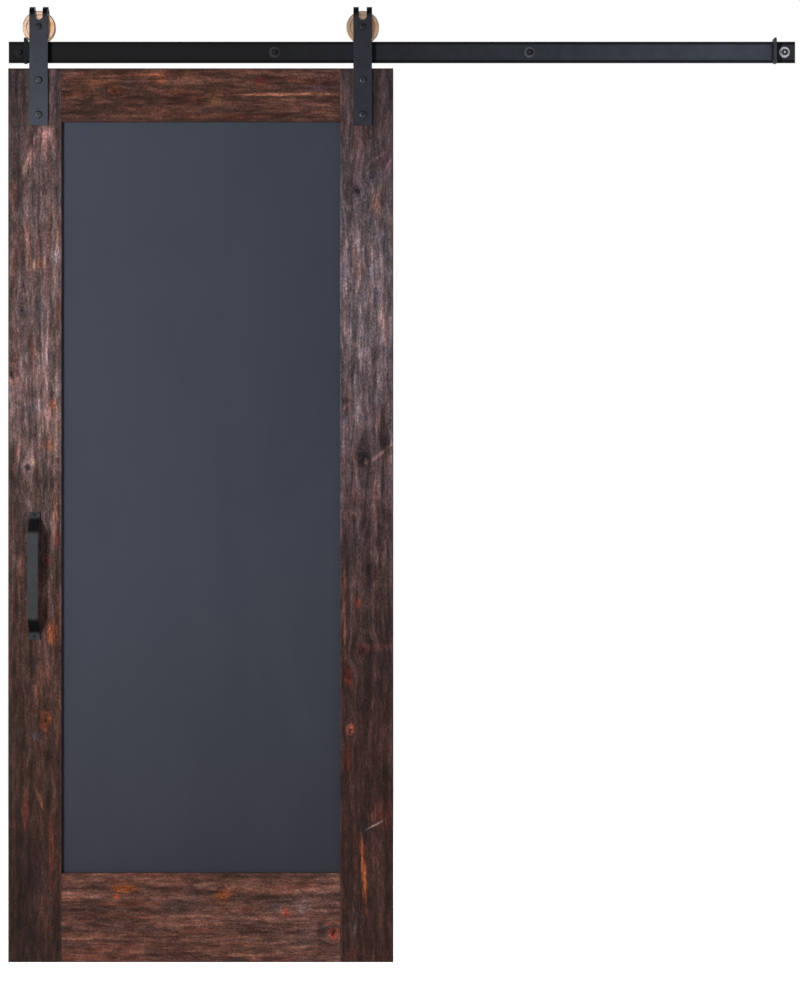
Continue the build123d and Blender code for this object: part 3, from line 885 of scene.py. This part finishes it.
RIGHT_MARKS = (
    upright_mark(346, 320, 14, 120, tone(138, 118, 124), strength=0.32),
    upright_mark(343, 568, 24, 66, SOOT, strength=0.46),
    upright_mark(343, 758, 26, 150, SOOT, strength=0.38),
    upright_mark(383, 160, 22, 22, tone(92, 62, 70), lean=-40, strength=0.6),
    upright_mark(378, 158, 3, 26, tone(150, 112, 122), lean=-52, strength=0.6),
    upright_mark(388, 166, 3, 22, tone(140, 104, 114), lean=-30, strength=0.6),
    upright_mark(371, 178, 12, 16, SLATE, strength=0.7, kind=MarkKind.KNOT, core=tone(40, 38, 44)),
    upright_mark(358, 192, 16, 18, tone(74, 62, 78), strength=0.75, kind=MarkKind.KNOT, core=INK),
    upright_mark(352, 190, 4, 44, INK, strength=0.75),
    upright_mark(375, 204, 10, 26, COPPER, strength=0.5),
    upright_mark(363, 270, 10, 16, COPPER, strength=0.4),
    upright_mark(376, 296, 7, 18, SLATE, strength=0.5),
    upright_mark(356, 346, 5, 8, STRAW, strength=0.8),
    upright_mark(346, 401, 9, 8, INK, strength=0.8),
    upright_mark(345, 408, 4, 4, STRAW, strength=0.9),
    upright_mark(352, 430, 4, 44, tone(128, 108, 112), strength=0.7),
    upright_mark(384, 441, 24, 18, INK, lean=-52, strength=0.75),
    upright_mark(364, 458, 14, 22, INK, strength=0.85, kind=MarkKind.KNOT, core=tone(24, 22, 30)),
    upright_mark(366, 462, 4, 7, STRAW, strength=0.9),
    upright_mark(381, 454, 4, 42, tone(156, 118, 116), lean=-50, strength=0.9),
    upright_mark(352, 484, 3, 44, INK, lean=-4, strength=0.8),
    upright_mark(357, 482, 3, 40, tone(140, 112, 110), strength=0.7),
    upright_mark(354, 516, 9, 9, tone(134, 96, 92), strength=0.8, kind=MarkKind.KNOT),
    upright_mark(358, 604, 7, 12, RED, strength=0.9),
    upright_mark(345, 620, 4, 120, COPPER, strength=0.5),
    upright_mark(363, 650, 12, 16, tone(98, 40, 40), lean=-38, strength=0.85, kind=MarkKind.KNOT),
    upright_mark(378, 648, 34, 8, tone(106, 62, 60), lean=8, strength=0.55),
    upright_mark(382, 664, 30, 10, INK, lean=-64, strength=0.6),
    upright_mark(349, 678, 9, 20, RED, strength=0.95, kind=MarkKind.KNOT, core=tone(60, 16, 8)),
    upright_mark(351, 730, 9, 12, tone(150, 76, 60), strength=0.85, kind=MarkKind.KNOT),
    upright_mark(348, 762, 5, 44, RED, strength=0.7),
    upright_mark(384, 815, 34, 26, tone(92, 46, 36), lean=-60, strength=0.6),
    upright_mark(364, 830, 12, 30, INK, lean=14, strength=0.8),
    upright_mark(376, 825, 2.2, 20, tone(168, 148, 132), lean=-62, strength=0.95),
    upright_mark(364, 875, 5, 84, ORANGE, lean=4, strength=0.85),
    upright_mark(361, 920, 3, 60, INK, strength=0.7),
    upright_mark(352, 925, 16, 40, tone(74, 58, 58), strength=0.6),
)
TOP_MARKS = (
    level_mark(114, 91, 12, 9, ORANGE, strength=0.95, kind=MarkKind.KNOT, core=tone(66, 12, 6)),
    level_mark(90, 84, 60, 16, tone(112, 66, 40), strength=0.45),
    level_mark(160, 78, 16, 12, ORANGE, strength=0.35),
    level_mark(262, 81, 13, 9, tone(132, 44, 40), strength=0.8),
    level_mark(215, 98, 18, 16, tone(118, 80, 52), strength=0.5, lean=20),
    level_mark(290, 95, 110, 3, tone(158, 102, 78), strength=0.8),
    level_mark(310, 89, 50, 6, INK, strength=0.6),
    level_mark(325, 88, 30, 6, tone(74, 48, 60), strength=0.5),
    level_mark(328, 112, 40, 14, tone(126, 82, 68), strength=0.5),
    level_mark(230, 108, 30, 10, INK, strength=0.5),
)
BOTTOM_MARKS = (
    level_mark(124, 889, 26, 10, tone(172, 88, 30), strength=0.85),
    level_mark(117, 897, 8, 6, tone(176, 72, 40), strength=0.9),
    level_mark(212, 887, 60, 8, tone(132, 92, 76), strength=0.5),
    level_mark(224, 895, 20, 12, tone(156, 84, 44), strength=0.8, lean=-20),
    level_mark(222, 889, 14, 5, tone(60, 22, 14), strength=0.6),
    level_mark(286, 913, 8, 14, tone(140, 60, 44), strength=0.8, lean=-24),
    level_mark(275, 908, 18, 18, tone(70, 64, 72), strength=0.5),
    level_mark(302, 906, 24, 20, tone(98, 82, 82), strength=0.5),
    level_mark(334, 934, 11, 14, tone(136, 46, 34), strength=0.95, kind=MarkKind.KNOT, core=tone(40, 20, 18)),
    level_mark(322, 930, 12, 24, INK, strength=0.7),
    level_mark(180, 905, 60, 18, tone(60, 48, 50), strength=0.45),
    level_mark(90, 938, 80, 10, tone(112, 70, 54), strength=0.45),
    level_mark(284, 958, 20, 8, tone(110, 52, 48), strength=0.5),
)


@dataclass
class DoorLeaf:
    """The leaf: two stiles, two rails and the chalkboard panel between them.

    Attributes:
        boards: the finishes of its four boards.
        paint: the panel's tones from its foot to its head, darker at the foot as a painted falloff of light.
    """

    boards: tuple[StainedWood, ...] = (
        StainedWood("left_stile", Axis.UPRIGHT, LEFT_STOPS, LEFT_MARKS, 3.1, (0.86, 1.20), -1.0),
        StainedWood("right_stile", Axis.UPRIGHT, RIGHT_STOPS, RIGHT_MARKS, 8.4, (1.08, 0.93), 1.0),
        StainedWood("top_rail", Axis.LEVEL, TOP_STOPS, TOP_MARKS, 12.7, (0.86, 1.18), 1.0, RAIL_WORN_AND_LIT),
        StainedWood(
            "bottom_rail", Axis.LEVEL, BOTTOM_STOPS, BOTTOM_MARKS, 21.3, (1.0, 1.0), -1.0, RAIL_WORN_AND_LIT
        ),
    )
    paint: Stops = shades((0.0, 58, 59, 67), (0.14, 62, 64, 73), (0.42, 65, 70, 82), (1.0, 65, 70, 83))

    def dress(self) -> None:
        """Gives the boards and the panel their finishes."""
        for board in self.boards:
            dress(board.node, board.make())
        dress("chalkboard_panel", SlatePaint("slate_paint", self.paint, *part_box("chalkboard_panel")).make())


@dataclass
class LagBolts:
    """The four wall bolts, with the coarse thread and drawn point that the frame leaves plain.

    Each is modelled along z, its head up and the washer's face at 0, and then laid down along y.

    Attributes:
        across_flats: the hexagon's width.
        head_height: the head's height.
        head_chamfer: the slope of its turned corners, in degrees.
        crown_share: how much of the hexagon's width the flat of the crown keeps.
        edge_break: how far the head's edges are broken.
        neck_radius: the plain neck's radius.
        neck_end: how far the neck goes down from the washer's face.
        neck_overlap: how far it reaches up into the head.
        run_out: the chamfer at its lower edge.
        root_radius: the thread's radius between its ridges.
        crest_radius: its radius over them.
        pitch: the distance from ridge to ridge.
        thread_from: how far down the thread starts.
        point_from: how far down it starts to narrow.
        point_end: how far down it ends.
        tip_radius: its radius there.
        columns: how many faces the thread has in a turn.
        places: where the bolts stand along x.
    """

    across_flats: float = 14.3 * MM
    head_height: float = 6.2 * MM
    head_chamfer: float = 30.0
    crown_share: float = 0.96
    edge_break: float = 0.25 * MM
    neck_radius: float = 4.5 * MM
    neck_end: float = 40.0 * MM
    neck_overlap: float = 0.5 * MM
    run_out: float = 0.8 * MM
    root_radius: float = 3.5 * MM
    crest_radius: float = 4.76 * MM
    pitch: float = 3.6 * MM
    thread_from: float = 38.5 * MM
    point_from: float = 96.0 * MM
    point_end: float = 104.0 * MM
    tip_radius: float = 0.7 * MM
    columns: int = 24
    places: tuple[float, ...] = tuple(FIRST_BOLT + BOLT_SPACING * index for index in range(BOLT_COUNT))

    def build(self) -> bpy.types.Object:
        """Models one bolt, copies it to the four places and joins them.

        Returns:
            The four bolts as one piece.
        """
        parts = [self.head(), self.neck(), self.thread()]
        pick(*parts)
        bpy.ops.object.join()
        first = bpy.context.object
        settle(first)
        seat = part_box("track_lag_bolts")[0].y + self.head_height
        first.rotation_euler = (math.pi / 2, 0.0, 0.0)
        first.location = (self.places[0], seat, 0.0)
        settle(first)
        row = [first]
        for place in self.places[1:]:
            pick(first)
            bpy.ops.object.duplicate()
            bpy.ops.transform.translate(value=(place - self.places[0], 0.0, 0.0))
            copy = bpy.context.object
            settle(copy)
            row.append(copy)
        pick(*row)
        bpy.ops.object.join()
        bolts = bpy.context.object
        bolts.name = "lag_bolts"
        bpy.ops.object.shade_smooth_by_angle(angle=math.radians(35.0))
        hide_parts("track_lag_bolts")
        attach(bolts, "track")
        log.info("built %s: %d bolts", bolts.name, len(self.places))
        return bolts

    def head(self) -> bpy.types.Object:
        """Models the hexagon head, its corners turned off and its edges broken.

        Returns:
            The head.
        """
        corner = self.across_flats / math.sqrt(3.0)
        middle = (0.0, 0.0, self.head_height / 2)
        turn = (0.0, 0.0, math.radians(30.0))
        bpy.ops.mesh.primitive_cylinder_add(
            vertices=6, radius=corner, depth=self.head_height, location=middle, rotation=turn
        )
        head = bpy.context.object
        flat = self.across_flats / 2 * self.crown_share
        skirt = flat + self.head_height / math.tan(math.radians(self.head_chamfer))
        bpy.ops.mesh.primitive_cone_add(
            vertices=72, radius1=skirt, radius2=flat, depth=self.head_height, location=middle
        )
        turner = bpy.context.object
        pick(head)
        cut = head.modifiers.new("turned_corners", "BOOLEAN")
        cut.operation = "INTERSECT"
        cut.solver = "EXACT"
        cut.object = turner
        bpy.ops.object.modifier_apply(modifier=cut.name)
        bpy.data.objects.remove(turner)
        bpy.ops.object.mode_set(mode="EDIT")
        bpy.ops.mesh.select_all(action="SELECT")
        bpy.ops.mesh.remove_doubles(threshold=0.02 * MM)
        bpy.ops.mesh.dissolve_degenerate(threshold=0.01 * MM)
        bpy.ops.object.mode_set(mode="OBJECT")
        break_edges(head, self.edge_break, 50.0)
        return head

    def neck(self) -> bpy.types.Object:
        """Models the plain neck, its lower edge chamfered where the thread takes over.

        Returns:
            The neck.
        """
        height = self.neck_end + self.neck_overlap
        middle = (0.0, 0.0, self.neck_overlap - height / 2)
        bpy.ops.mesh.primitive_cylinder_add(
            vertices=48, radius=self.neck_radius, depth=height, location=middle
        )
        neck = bpy.context.object
        settle(neck)
        break_edges(neck, self.run_out, 30.0)
        return neck

    def thread(self) -> bpy.types.Object:
        """Wraps a grid into a closed screw thread that narrows to the point.

        Each column starts a little lower than the one before, so that the rows follow the helix and meet
        at the seam one turn on. Rows past either end lie in that end's plane, and a last row closes it.

        Returns:
            The thread.
        """
        profile = [
            (0.00, self.root_radius),
            (0.30, self.root_radius),
            (0.44, self.crest_radius),
            (0.54, self.crest_radius),
            (0.68, self.root_radius),
        ]
        turns = math.ceil((self.point_end - self.thread_from) / self.pitch) + 1
        rows = turns * len(profile) + 2
        bpy.ops.mesh.primitive_grid_add(x_subdivisions=self.columns, y_subdivisions=rows, size=1.0)
        thread = bpy.context.object
        for vertex in thread.data.vertices:
            column = round((vertex.co.x + 0.5) * self.columns)
            row = round((vertex.co.y + 0.5) * rows)
            angle = math.tau * column / self.columns
            whole, step = divmod(min(max(row - 1, 0), rows - 2), len(profile))
            share, radius = profile[step]
            depth = self.thread_from + self.pitch * (whole + share + column / self.columns - 1)
            if depth <= self.thread_from:
                depth, radius = self.thread_from, self.root_radius
            taper = (depth - self.point_from) / (self.point_end - self.point_from)
            taper = min(max(taper, 0.0), 1.0)
            radius += (self.tip_radius - radius) * taper
            depth = min(depth, self.point_end)
            if row in (0, rows):
                radius = 0.0
            vertex.co = (radius * math.cos(angle), radius * math.sin(angle), -depth)
        pick(thread)
        bpy.ops.object.mode_set(mode="EDIT")
        bpy.ops.mesh.select_all(action="SELECT")
        bpy.ops.mesh.remove_doubles(threshold=0.004 * MM)
        bpy.ops.mesh.normals_make_consistent(inside=False)
        bpy.ops.object.mode_set(mode="OBJECT")
        return thread


@dataclass
class FlatTrack:
    """The wall-fixed side: bar, spacers, bolts, washers and end stops.

    Attributes:
        rim_from: height from the middle of the bar at which its band of painted shade along the edges begins.
        bar: the bar's tones from left to right, as are the next four; each holds a painted reflection that
            brightens towards the right end.
        small: those of the spacers and the left stop.
        rings: those of the washers.
        heads: those of the bolts' heads.
        spots: those of the painted highlights on the heads.
    """

    rim_from: float = 17.4 * MM
    # Black coat with a painted reflection that brightens towards the right end
    bar: Stops = shades(
        (0.0, 20, 20, 22),
        (0.30, 27, 27, 30),
        (0.45, 36, 38, 42),
        (0.70, 54, 58, 65),
        (0.966, 75, 80, 92),
        (0.980, 56, 60, 64),
        (1.0, 53, 57, 60),
    )
    small: Stops = shades((0.0, 26, 26, 30), (1.0, 44, 46, 53))
    rings: Stops = shades((0.0, 33, 33, 36), (0.34, 64, 63, 68), (0.66, 92, 91, 98), (1.0, 92, 91, 98))
    heads: Stops = shades((0.0, 26, 26, 29), (0.67, 36, 35, 41), (0.90, 44, 46, 53), (0.97, 62, 67, 80))
    spots: Stops = shades((0.0, 34, 34, 37), (0.34, 52, 51, 55), (0.67, 76, 74, 79), (0.97, 244, 246, 252))

    def dress(self) -> None:
        """Gives the track's pieces their finishes."""
        low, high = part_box("track_rail")
        ends = (low.x, high.x)
        dress("track_rail", BlackSteel("track_coat_and_sheen", self.bar, *ends, rim_from=self.rim_from).make())
        coat = BlackSteel("fastener_coat_and_sheen", self.small, *ends).make()
        for node in ("track_standoffs", "left_end_stop"):
            dress(node, coat)
        # The right stop is painted lighter than the left one, a painted reflection like the bar's
        stop = shades((0.0, 62, 66, 74), (1.0, 68, 72, 81))
        dress("right_end_stop", BlackSteel("right_stop_coat_and_sheen", stop).make())
        dress("track_washers", BlackSteel("washer_coat_and_sheen", self.rings, *ends).make())
        heads = BoltHeads("lag_bolt_coat_and_glint", self.heads, self.spots, *ends)
        bolts = LagBolts().build()
        bolts.data.materials.clear()
        bolts.data.materials.append(heads.make())
        dress("stop_set_screws", ZincSteel("set_screw_zinc", tone(150, 150, 156)).make())
        dress("end_washer", ZincSteel("washer_zinc", tone(250, 250, 255), 0.22, 0.20).make())
        rubber = PadRubber("pad_rubber").make()
        for node in ("left_stop_pad", "right_stop_pad"):
            dress(node, rubber)


@dataclass
class Hangers:
    """The two straps, their bolts, the axles and the wheels.

    Attributes:
        left_strap: the left strap's tones from its foot to its head, with the ears at the head painted near
            black as shade.
        right_strap: the right strap's, the same but painted darker all over as shade.
        buttons: the hanger bolts' tones from their crowns to their seats, darkened towards the seat as
            painted shade.
    """

    # Painted shade: the ears at the straps' heads are near black, and the right strap is darker than the left
    left_strap: Stops = shades((0.0, 74, 79, 90), (0.90, 60, 62, 70), (0.945, 16, 16, 18), (1.0, 10, 10, 12))
    right_strap: Stops = shades((0.0, 54, 55, 63), (0.90, 49, 50, 58), (0.945, 16, 16, 18), (1.0, 8, 8, 10))
    buttons: Stops = shades((0.0, 40, 42, 48), (0.35, 24, 25, 29), (0.70, 10, 10, 13), (1.0, 7, 7, 9))

    def dress(self) -> None:
        """Gives the hangers' pieces their finishes."""
        for side, tones in (("left", self.left_strap), ("right", self.right_strap)):
            low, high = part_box(f"{side}_hanger_strap")
            coat = BlackSteel(f"{side}_strap_coat_and_shade", tones, low.z, high.z, Axis.UPRIGHT)
            dress(f"{side}_hanger_strap", coat.make())
            low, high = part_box(f"{side}_wheel")
            dress(f"{side}_wheel", TurnedBrass(f"{side}_brass", (low + high) / 2).make())
        bolts = BlackSteel("bolt_coat", plain(16, 17, 20), roughness=0.30, gloss=0.40).make()
        for node in ("axle_bolts", "axle_nuts"):
            dress(node, bolts)
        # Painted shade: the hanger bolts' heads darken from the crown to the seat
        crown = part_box("hanger_bolts")[0].y
        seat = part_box("left_hanger_strap")[0].y
        button = BlackSteel("button_coat_and_shade", self.buttons, crown, seat, Axis.DEPTH, roughness=0.30, gloss=0.55)
        dress("hanger_bolts", button.make())
        zinc = ZincSteel("plain_zinc", tone(166, 168, 174), 0.46).make()
        for node in (
            "barrel_nuts",
            "axle_spacers",
            "left_bearing_inner_ring",
            "right_bearing_inner_ring",
            "left_bearing_outer_ring",
            "right_bearing_outer_ring",
        ):
            dress(node, zinc)


@dataclass
class DoorPull:
    """The flat-bar pull and its two screws.

    Attributes:
        tones: the pull's tones from its foot to its head: feet, legs painted dark as shade, and the grip
            between them.
    """

    # Painted shade: the legs are much darker than the feet and the grip, the lower leg darkest
    tones: Stops = shades(
        (0.04, 60, 62, 65),
        (0.07, 2, 2, 2),
        (0.145, 2, 2, 2),
        (0.175, 63, 65, 68),
        (0.825, 66, 68, 71),
        (0.855, 26, 26, 29),
        (0.93, 26, 26, 29),
        (0.96, 60, 62, 65),
    )

    def dress(self) -> None:
        """Gives the pull its finish."""
        low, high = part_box("door_pull")
        dress("door_pull", BlackSteel("pull_coat_and_shade", self.tones, low.z, high.z, Axis.UPRIGHT).make())
        dress("pull_screws", BlackSteel("screw_coat", plain(40, 41, 44)).make())


@dataclass(frozen=True)
class Lamp:
    """A rectangular lamp that faces the door and that the camera doesn't see.

    Attributes:
        name: which lamp it is.
        place: where it hangs.
        width: its width.
        height: its height.
        power: its power in watts.
    """

    name: str
    place: Point
    width: float
    height: float
    power: float

    def hang(self, target: Vector) -> None:
        """Hangs the lamp.

        Args:
            target: the place that it faces.
        """
        lamp = bpy.data.lights.new(f"{self.name}_lamp", "AREA")
        lamp.shape = "RECTANGLE"
        lamp.size = self.width
        lamp.size_y = self.height
        lamp.energy = self.power
        stand = bpy.data.objects.new(f"{self.name}_lamp", lamp)
        bpy.context.scene.collection.objects.link(stand)
        stand.location = self.place
        stand.rotation_euler = (target - Vector(self.place)).to_track_quat("-Z", "Y").to_euler()
        stand.visible_camera = False


@dataclass
class Studio:
    """Floor, world, lamps and camera.

    Attributes:
        camera_place: where the camera stands.
        lens: its focal length in millimetres.
        clip_end: how far it sees.
        floor_gap: how far the floor lies under the leaf.
        floor_size: the floor's length and width.
        floor_glow: the floor's own light, to the eye and to gloss alone.
        fade: the distances at which the floor starts to fade and is the backdrop's white.
        world_light: the backdrop's light on the door.
        room_gloss: the backdrop's light on gloss that faces the room.
        room_turn: how far towards the wall gloss looks where that light starts to rise and is white.
        target: the place that the lamps face.
        lamps: a tall soft key to the left, a weak fill to the right, a lamp behind and one at each side.
            The side lamps hang behind the door's front, so they light its edges and its back only.
    """

    camera_place: Point = (-0.0046, -7.556, -1.0498)
    lens: float = 115.09
    clip_end: float = 200.0
    floor_gap: float = 12.7 * MM
    floor_size: float = 60.0
    floor_glow: float = 0.84
    fade: tuple[float, float] = (1.4, 4.5)
    world_light: float = 0.11
    room_gloss: float = 0.30
    room_turn: tuple[float, float] = (0.05, 0.45)
    target: Point = (-0.45, -0.05, -1.0)
    lamps: tuple[Lamp, ...] = (
        Lamp("key", (-4.2, -7.2, -0.7), 1.5, 4.4, 450.0),
        Lamp("fill", (5.5, -6.5, 1.0), 3.0, 3.0, 12.0),
        Lamp("back", (3.2, 6.2, 2.2), 3.0, 3.0, 330.0),
        Lamp("left", (-7.0, 1.8, 0.2), 2.4, 3.6, 70.0),
        Lamp("right", (6.1, 1.8, 0.2), 2.4, 3.6, 70.0),
    )

    def build(self) -> None:
        """Builds the studio round the door."""
        self.floor()
        self.world()
        for lamp in self.lamps:
            lamp.hang(Vector(self.target))
        self.camera()

    def floor(self) -> None:
        """Lays a pale floor just under the door."""
        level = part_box("left_stile")[0].z - self.floor_gap
        bpy.ops.object.select_all(action="DESELECT")
        bpy.ops.mesh.primitive_grid_add(
            x_subdivisions=8, y_subdivisions=8, size=self.floor_size, location=(0.0, 0.0, level)
        )
        floor = bpy.context.object
        settle(floor)
        floor.name = "studio_floor"
        floor.data.materials.append(self.floor_paint())

    def floor_paint(self) -> bpy.types.Material:
        """Builds the floor's paint, whose far parts fade to the backdrop's white.

        Returns:
            The finished material.
        """
        s = Shader("floor_white")
        seen = s.add("LightPath").outputs
        direct = s.math("MAXIMUM", seen["Is Camera Ray"], seen["Is Glossy Ray"])
        direct = s.math("MAXIMUM", direct, seen["Is Transmission Ray"])
        paper = s.add("BsdfDiffuse", Color=tone(236, 236, 236))
        glow = s.add("Emission", Color=WHITE, Strength=s.math("MULTIPLY", direct, self.floor_glow))
        near = s.add("AddShader", i0=paper.outputs[0], i1=glow.outputs[0])
        white = s.add("Emission", Color=WHITE, Strength=1.0)
        x, y, _ = s.split(s.place())
        fade = s.math("MULTIPLY", s.smooth(s.length(s.join(x, y)), *self.fade), direct)
        surface = s.add("MixShader", i0=fade, i1=near.outputs[0], i2=white.outputs[0])
        s.add("OutputMaterial", Surface=surface.outputs[0])
        return s.material

    def world(self) -> None:
        """Gives a white backdrop to the eye and to gloss, and a plain level of light to the rest."""
        world = bpy.data.worlds.new("studio_world")
        bpy.context.scene.world = world
        world.use_nodes = True
        s = Nodes(world.node_tree)
        seen = s.add("LightPath").outputs
        towards_wall = s.split(s.add("TexCoord").outputs["Generated"])[Axis.DEPTH.value]
        gloss = s.smooth(towards_wall, *self.room_turn, self.room_gloss, 1.0)
        glossy = s.math("MAXIMUM", seen["Is Glossy Ray"], seen["Is Transmission Ray"])
        level = s.blend(glossy, self.world_light, gloss)
        strength = s.blend(seen["Is Camera Ray"], level, 1.0)
        sky = s.add("Background", Color=WHITE, Strength=strength)
        s.add("OutputWorld", Surface=sky.outputs[0])

    def camera(self) -> None:
        """Sets the camera where the picture was taken from."""
        data = bpy.data.cameras.new("camera")
        data.lens = self.lens
        data.clip_end = self.clip_end
        camera = bpy.data.objects.new("camera", data)
        bpy.context.scene.collection.objects.link(camera)
        camera.location = self.camera_place
        camera.rotation_euler = (math.pi / 2, 0.0, 0.0)
        bpy.context.scene.camera = camera
        bpy.context.scene.view_settings.view_transform = "Standard"


def main() -> None:
    """Builds the looks in order and reports each piece."""
    logging.basicConfig(level=logging.INFO, format="%(message)s")
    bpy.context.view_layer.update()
    DoorLeaf().dress()
    FlatTrack().dress()
    Hangers().dress()
    DoorPull().dress()
    Studio().build()


if __name__ == "__main__":
    main()
